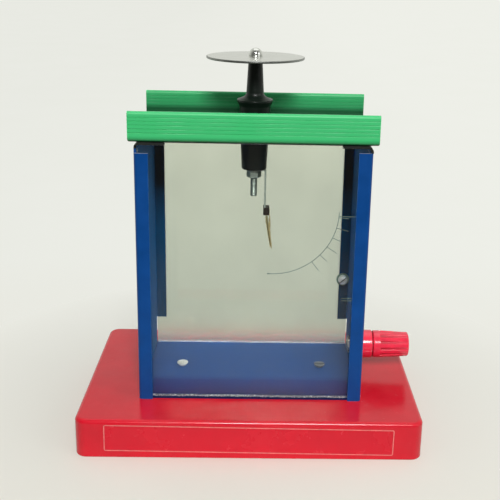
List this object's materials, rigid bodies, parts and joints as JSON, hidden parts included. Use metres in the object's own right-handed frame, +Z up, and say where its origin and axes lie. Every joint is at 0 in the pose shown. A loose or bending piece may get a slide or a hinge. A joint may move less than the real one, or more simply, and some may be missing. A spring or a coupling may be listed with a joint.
{
  "type": "gold leaf electroscope",
  "caption": "Windowed sheet case on a red base, with a ribbed tray on top, an insulated rod carrying a round plate above and a hanging gold leaf inside, and a side terminal",
  "frame": {"origin": "centre of the base's underside, on the surface it stands on", "axes": "+X towards the red terminal, +Y away from the front window, +Z up"},
  "size_m": [0.15, 0.0952, 0.1706],
  "materials": {
    "red_moulding": "glossy moulding, a little dusty on top",
    "label_film": "smooth red film with a pale border, no words",
    "blue_paint": "satin blue paint on sheet steel",
    "floor_paint": "satin dark blue paint on sheet steel",
    "clear_window": "clear polished sheet",
    "frosted_window": "pale green frosted sheet",
    "screw_steel": "plated steel",
    "green_tray": "satin green ribbed extrusion",
    "black_insulator": "black with a soft shine",
    "rod_metal": "dull plated metal",
    "plate_chrome": "bright plated and polished",
    "clamp_metal": "dull darkened brass",
    "strip_brass": "thin brass strip",
    "leaf_gold": "bright thin gold leaf",
    "red_terminal": "shiny red plastic",
    "terminal_metal": "plated brass"
  },
  "bodies": {
    "case": {"base": "red_moulding", "label_plate": "label_film", "case_left_side": "blue_paint", "case_right_side": "blue_paint", "floor_plate": "floor_paint", "front_window": "clear_window", "rear_window": "frosted_window", "pane_washer": "screw_steel", "pane_screw": "screw_steel", "floor_screws": "screw_steel", "floor_nuts": "screw_steel", "lid_tray": "green_tray", "terminal_collar": "red_terminal", "terminal_stud": "terminal_metal", "terminal_washer": "terminal_metal", "terminal_nut": "terminal_metal"},
    "conductor": {"insulator_stopper": "black_insulator", "conductor_rod": "rod_metal", "charge_disc": "plate_chrome", "ball_nut": "plate_chrome", "leaf_hanger": "rod_metal", "lower_washer": "rod_metal", "lower_nut": "rod_metal", "leaf_clamp": "clamp_metal", "fixed_strip": "strip_brass"},
    "leaf": {"gold_leaf": "leaf_gold"},
    "terminal_slider": {"terminal_insert": "terminal_metal"},
    "terminal_knob": {"terminal_cap": "red_terminal"}
  },
  "joints": [
    {"name": "stopper_lift", "type": "slide", "parent": "case", "child": "conductor", "axis": [0, 0, 1], "range_m": [0, 0.0195]},
    {"name": "leaf_swing", "type": "hinge", "parent": "conductor", "child": "leaf", "pos_m": [0.0074, 0.00225, 0.09555], "axis": [0, -1, 0], "range_deg": [0, 84]},
    {"name": "insert_travel", "type": "slide", "parent": "case", "child": "terminal_slider", "axis": [1, 0, 0], "range_m": [0, 0.003]},
    {"name": "cap_turn", "type": "hinge", "parent": "terminal_slider", "child": "terminal_knob", "pos_m": [0.0691, 0.00225, 0.0316], "axis": [1, 0, 0], "range_deg": [0, 1080]}
  ],
  "couplings": [
    {"joint": "cap_turn", "follows": "insert_travel", "rad_per_m": 6283.2}
  ]
}
